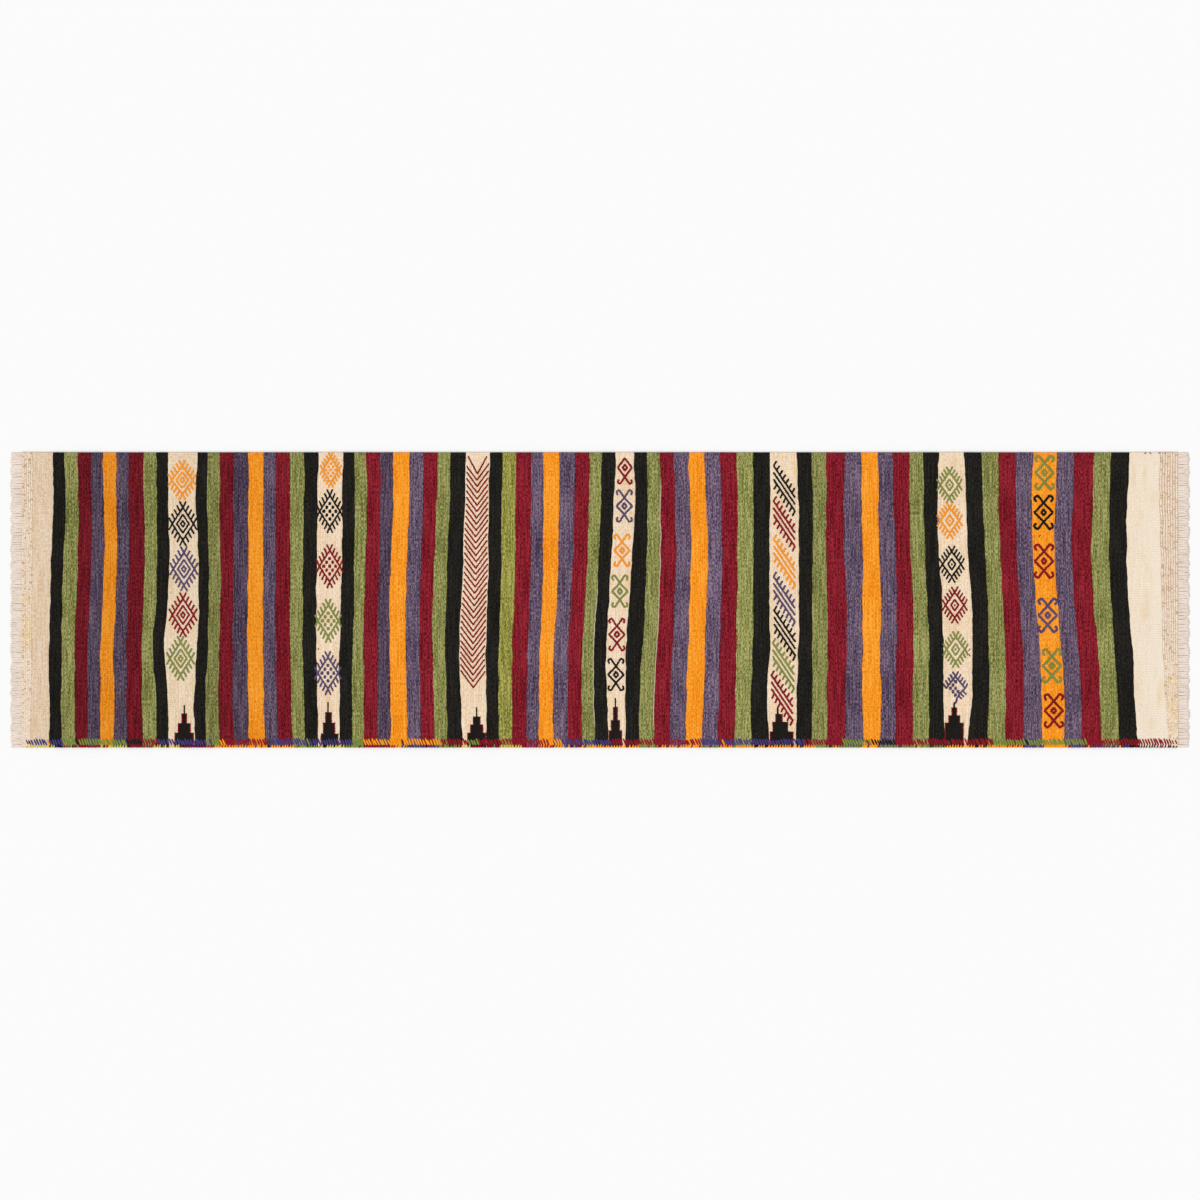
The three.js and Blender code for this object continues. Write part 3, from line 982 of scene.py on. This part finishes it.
def make_braid(name, left, right, seed, stain_middle):
    """Columns of small slanting knots between two sides, leaning the other way in each next column."""
    random = np.random.default_rng(seed)
    ground = slab(left(CLOTH_ROWS) + SEAM, right(CLOTH_ROWS) - SEAM, CLOTH_ROWS, -BRAID_SINK)
    shapes = [ground]
    dyes = [np.tile(linear(BRAID_GROUND), (len(ground[0]), 1))]
    columns = round(float(np.mean(right(ROWS) - left(ROWS))) / BRAID_COLUMN)
    rows = np.arange(HALF - 3.4, -HALF + 3.0, -KNOT_PITCH)
    for column in range(columns):
        share = (column + 0.5) / columns
        x = left(rows) * (1 - share) + right(rows) * share
        centres = np.column_stack([x + random.normal(0, 0.2, len(rows)), rows])
        lean = math.radians(KNOT_LEAN if column % 2 else -KNOT_LEAN) + random.normal(0, 0.06, len(rows))
        tones = braid_dyes(rows, random, column == 0, stain_middle)
        for surface, lift in ((front, 0.15), (back, -0.05)):
            shapes.append(float_shape(centres, lean, KNOT_LENGTH, KNOT_WIDTH, KNOT_THICK, surface, lift))
            dyes.append(np.repeat(tones, FLOAT_VERTICES, axis=0))
    points, quads = joined(shapes)
    tones = np.column_stack([np.concatenate(dyes), np.ones(len(points))])
    braid = attach(piece(f"{name}_knots", (points, quads), "braid", tones))
    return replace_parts(braid, name)


braids = [
    make_braid("braid_left", lambda y: outer_side(0, y), lambda y: side(0, y), 21, -60),
    make_braid("braid_right", lambda y: side(STRIPES, y), lambda y: outer_side(-1, y), 31, -270),
]

# ---- the overcast -Y edge ---------------------------------------------------------------------------------

# where each colour of the upper and the lower row of stitches ends along the rug
UPPER_ROW = [
    (-1367, "purple"), (-1206, "green"), (-1165, "black"), (-1122, "red"), (-987, "purple"), (-969, "green"),
    (-952, "orange"), (-837, "red"), (-628, "purple"), (-600, "green"), (-401, "orange"), (-335, "red"),
    (-307, "green"), (-129, "red"), (-98, "orange"), (30, "purple"), (253, "red"), (521, "purple"),
    (615, "red"), (692, "green"), (750, "black"), (1005, "red"), (1242, "green"), (1470, "red"),
]
LOWER_ROW = [
    (-1384, "yellow"), (-1366, "black"), (-1275, "red"), (-1236, "yellow"), (-1206, "yellow"), (-1135, "red"),
    (-1070, "yellow"), (-982, "red"), (-778, "orange"), (-714, "green"), (-650, "yellow"), (-600, "green"),
    (-523, "red"), (-510, "orange"), (-409, "purple"), (-358, "green"), (-332, "yellow"), (-256, "red"),
    (-200, "yellow"), (-116, "red"), (100, "orange"), (152, "green"), (203, "orange"), (254, "orange"),
    (304, "green"), (394, "orange"), (539, "orange"), (661, "green"), (712, "orange"), (878, "green"),
    (954, "orange"), (1074, "orange"), (1132, "purple"), (1196, "orange"), (1349, "purple"), (1470, "black"),
]
STITCH_PITCH = 6.8
BINDING_START = -1462.0
BINDING_END = 1469.0
UPPER_TOP = -HALF + 22.0
ROW_LINE = -HALF + 8.6
OTHER_DYES = ("black", "brown", "purple", "green", "red", "orange")
STITCH_WIDTH = 4.3
STITCH_THICK = 1.4
UPPER_TAPER = (0.55, 0.9, 1, 1, 1, 0.9, 0.55)
LOWER_TAPER = (0.5, 0.9, 1, 1, 1, 1, 1, 0.9, 0.5)
ROUND_EDGE = 1.75  # half the height of a stitch that goes round the edge


def dye_at(row, x, random, odd_share):
    """The colour of the stitch at x: its row's own, or now and then another one."""
    if random.uniform() < odd_share:
        return OTHER_DYES[random.integers(len(OTHER_DYES))]
    return next((colour for end, colour in row if x < end), row[-1][1])


def upper_stitch(x, random):
    """A slanting stitch on the front, which goes through the cloth at both ends."""
    lean = random.uniform(6.0, 9.0)
    top = UPPER_TOP + random.uniform(-2, 3)
    share = np.linspace(0, 1, len(UPPER_TAPER))
    px = x + lean * (share - 0.5)
    py = top + (ROW_LINE - 2.5 - top) * share
    pz = front(px, py) - rib(py) + 0.75 * np.sin(math.pi * share) - 0.15
    return np.column_stack([px, py, pz])


def lower_stitch(x, random):
    """A stitch that goes round the cloth's edge, from the front to the back."""
    lean = random.uniform(3.0, 5.5)
    top = ROW_LINE + random.uniform(-1, 2)
    turn = np.linspace(math.pi / 2, -math.pi / 2, 5)
    middle = LIFT + CLOTH / 2 + float(ripple(x, -HALF))
    round_y = -HALF + 2.3 - 1.7 * np.cos(turn)
    round_z = middle + ROUND_EDGE * np.sin(turn)
    y = np.concatenate([[top, (top - HALF) / 2], round_y, [(top - HALF) / 2, top - 2]])
    z = np.concatenate([[middle + 1.1, middle + 1.85], round_z, [middle - ROUND_EDGE, middle - 1.2]])
    px = x + lean * (0.5 - np.linspace(0, 1, len(y)))
    return np.column_stack([px, y, np.maximum(z, 0.45)])


def binding_spans():
    """Stretches of the edge with the frame's nodes they stand for: quarters, and short ones at folds."""
    spans = []
    start = BINDING_START
    for number, fold in enumerate(FOLDS):
        node, next_node = f"edge_binding_{number + 1}", f"edge_binding_{number + 2}"
        spans.append((f"binding_quarter_{number + 1}", start, fold - FOLD_PART, [node]))
        spans.append((f"binding_fold_{number + 1}", fold - FOLD_PART, fold + FOLD_PART, [node, next_node]))
        start = fold + FOLD_PART
    spans.append((f"binding_quarter_{len(FOLDS) + 1}", start, BINDING_END, [next_node]))
    return spans


def upper_shape(paths):
    return yarns(paths, STITCH_WIDTH, STITCH_THICK, UPPER_TAPER)


def lower_shape(paths):
    return yarns(paths, STITCH_THICK, STITCH_WIDTH + 0.2, LOWER_TAPER, across=(1, 0, 0))


# each row's name, colours, path of a stitch, shape of its stitches, and share of stitches in another colour
BINDING_ROWS = (
    ("upper", UPPER_ROW, upper_stitch, upper_shape, 0.04),
    ("lower", LOWER_ROW, lower_stitch, lower_shape, 0.16),
)


def make_binding():
    random = np.random.default_rng(5)
    for name, start, end, nodes in binding_spans():
        count = round((end - start) / STITCH_PITCH)
        places = start + (np.arange(count) + 0.5) * (end - start) / count
        for row, table, stitch, shape_of, odd_share in BINDING_ROWS:
            paths = [stitch(x + random.uniform(-1, 1), random) for x in places]
            dyes = [(*linear(DYES[dye_at(table, x, random, odd_share)]), 1.0) for x in places]
            points, quads = shape_of(paths)
            tones = np.repeat(np.array(dyes), len(points) // count, axis=0)
            stitches = attach(piece(f"{name}_{row}", (points, quads), "binding", tones))
            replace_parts(stitches, *nodes)


make_binding()

# ---- stray stitches of other colours, where the rug was mended --------------------------------------------

MEND_WIDTH = 3.0
MEND_THICK = 1.4
# colour, place along and across the rug, direction in degrees, length
MENDS = [
    ("red", -717, -125, 60, 5),
    ("blue", 821, -233, 90, 7),
    ("red", 1119, 163, 55, 8),
    ("red", 940, -127, 60, 9),
    ("red", 941, -141, 110, 8),
    ("red", 934, -135, 20, 6),
    ("purple", 860, 207, -50, 9),
    ("purple", 860, 200, 50, 9),
    ("red", 1388, 374, 10, 7),
    ("red", 1401, 374, -15, 6),
    ("red", 1424, 374, 5, 6),
    ("red", 1438, 374, 0, 5),
]


def make_mends():
    """The stray stitches, one piece for each quarter of the rug that has any."""
    for quarter, low, high in zip(range(1, 5), [LOW[0]] + FOLDS, FOLDS + [HIGH[0]]):
        mends = [mend for mend in MENDS if low < mend[1] < high]
        if not mends:
            continue
        centres = np.array([mend[1:3] for mend in mends], float)
        angles = np.radians([mend[3] for mend in mends])
        lengths = np.array([mend[4] for mend in mends], float)
        shape = float_shape(centres, angles, lengths, MEND_WIDTH, MEND_THICK, front, FRONT_LIFT)
        dyes = np.array([(*linear(DYES[mend[0]]), 1.0) for mend in mends])
        attach(piece(f"mends_{quarter}", shape, "binding", np.repeat(dyes, FLOAT_VERTICES, axis=0)))


make_mends()

# ---- undyed wefts that show between two stripes -----------------------------------------------------------

# the boundary they lie on, and where they start and end across the rug
UNDYED_PICKS = [(43, 310, -335), (39, 40, -330)]
UNDYED_WIDTH = 1.7
UNDYED_THICK = 0.9


def make_undyed_picks():
    for number, (boundary, top, bottom) in enumerate(UNDYED_PICKS):
        y = np.arange(top, bottom, -3.0)
        x = side(boundary, y)
        path = np.column_stack([x, y, front(x, y) - rib(y) - 0.05])
        from_top = np.arange(len(y))
        taper = np.minimum(1, 0.3 + 0.1 * np.minimum(from_top, from_top[::-1]))
        shape = yarns([path], UNDYED_WIDTH, UNDYED_THICK, taper)
        attach(piece(f"undyed_pick_{number + 1}", shape, "warp"))


make_undyed_picks()

# ---- the warps inside the cloth ---------------------------------------------------------------------------

WARP_YARN = 1.1
WARP_INTO_BRAID = 8.0
WARP_CLEAR = 3.0  # the last warp lies this far inside the wefts' own edge
WARP_POINTS = (24, 25)  # along a quarter, and across a fold


def make_warps():
    """Straight warps through the whole cloth, in pieces that part near each fold, with one piece across it.
    """
    edges = [float(SIDES[1].max()) - WARP_INTO_BRAID]
    for fold in FOLDS:
        edges += [fold - FOLD_PART, fold + FOLD_PART]
    edges.append(float(SIDES[-2].min()) + WARP_INTO_BRAID)
    y = HALF - (np.arange(RIBS - 1) + 1) * RIB_PITCH
    y = y[y > WEB + WARP_CLEAR]
    for number, (start, end) in enumerate(zip(edges[:-1], edges[1:])):
        x = np.linspace(start, end, WARP_POINTS[number % 2])
        z = LIFT + CLOTH / 2 + ripple(x[None, :], y[:, None])
        paths = np.stack([np.broadcast_to(x, z.shape), np.broadcast_to(y[:, None], z.shape), z], -1)
        shape = yarns(paths, WARP_YARN, WARP_YARN, np.ones(len(x)))
        warps = attach(piece(f"warps_{number + 1}", shape, "warp"))
        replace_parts(warps, f"warp_core_{number // 2 + 1}")


make_warps()

# ---- the pieces that go with each stripe, gathered but not used further -----------------------------------


def declare_sheets():
    for number, (stripe, width, length) in stripes.items():
        extras = list(motif_pieces.get(number, []))
        if number == 0:
            extras += [fringes[0], braids[0]]
        if number == STRIPES - 1:
            extras += [fringes[1], braids[1]]


declare_sheets()

# ---- floor, light and camera ------------------------------------------------------------------------------

FLOOR_TONE = 0.93
FLOOR_REACH = 40.0  # metres
FLOOR_DROP = 0.0005  # metres
SKY = 0.78
SUN = 1.12
SUN_SOFTNESS = 25  # degrees
SUN_TURN = (28, -34, 0)  # degrees
LENS = 85.0
SENSOR = 36.0
FRAME_WIDTH = 3056.0  # the width that the picture takes in, at the floor


def make_floor():
    mesh = bpy.data.meshes.new("floor")
    corners = ((-1, -1), (1, -1), (1, 1), (-1, 1))
    points = [(x * FLOOR_REACH, y * FLOOR_REACH, -FLOOR_DROP) for x, y in corners]
    mesh.from_pydata(points, [], [(0, 1, 2, 3)])
    nodes = Nodes("floor")
    nodes.finish((FLOOR_TONE, FLOOR_TONE, FLOOR_TONE, 1.0), 0.9, 0.0)
    mesh.materials.append(nodes.material)
    floor = bpy.data.objects.new("floor", mesh)
    bpy.context.scene.collection.objects.link(floor)


def make_light():
    world = bpy.data.worlds.new("studio")
    world.use_nodes = True
    background = world.node_tree.nodes["Background"]
    background.inputs["Color"].default_value = (1.0, 1.0, 1.0, 1.0)
    background.inputs["Strength"].default_value = SKY
    bpy.context.scene.world = world
    light = bpy.data.lights.new("window", "SUN")
    light.energy = SUN
    light.angle = math.radians(SUN_SOFTNESS)
    lamp = bpy.data.objects.new("window", light)
    lamp.rotation_euler = [math.radians(turn) for turn in SUN_TURN]
    bpy.context.scene.collection.objects.link(lamp)


def make_camera():
    camera = bpy.data.cameras.new("camera")
    camera.lens = LENS
    camera.sensor_width = SENSOR
    eye = bpy.data.objects.new("camera", camera)
    eye.location = (0, 0, FRAME_WIDTH * LENS / SENSOR * MM)
    bpy.context.scene.collection.objects.link(eye)
    bpy.context.scene.camera = eye


make_floor()
make_light()
make_camera()
bpy.context.scene.view_settings.view_transform = "Standard"
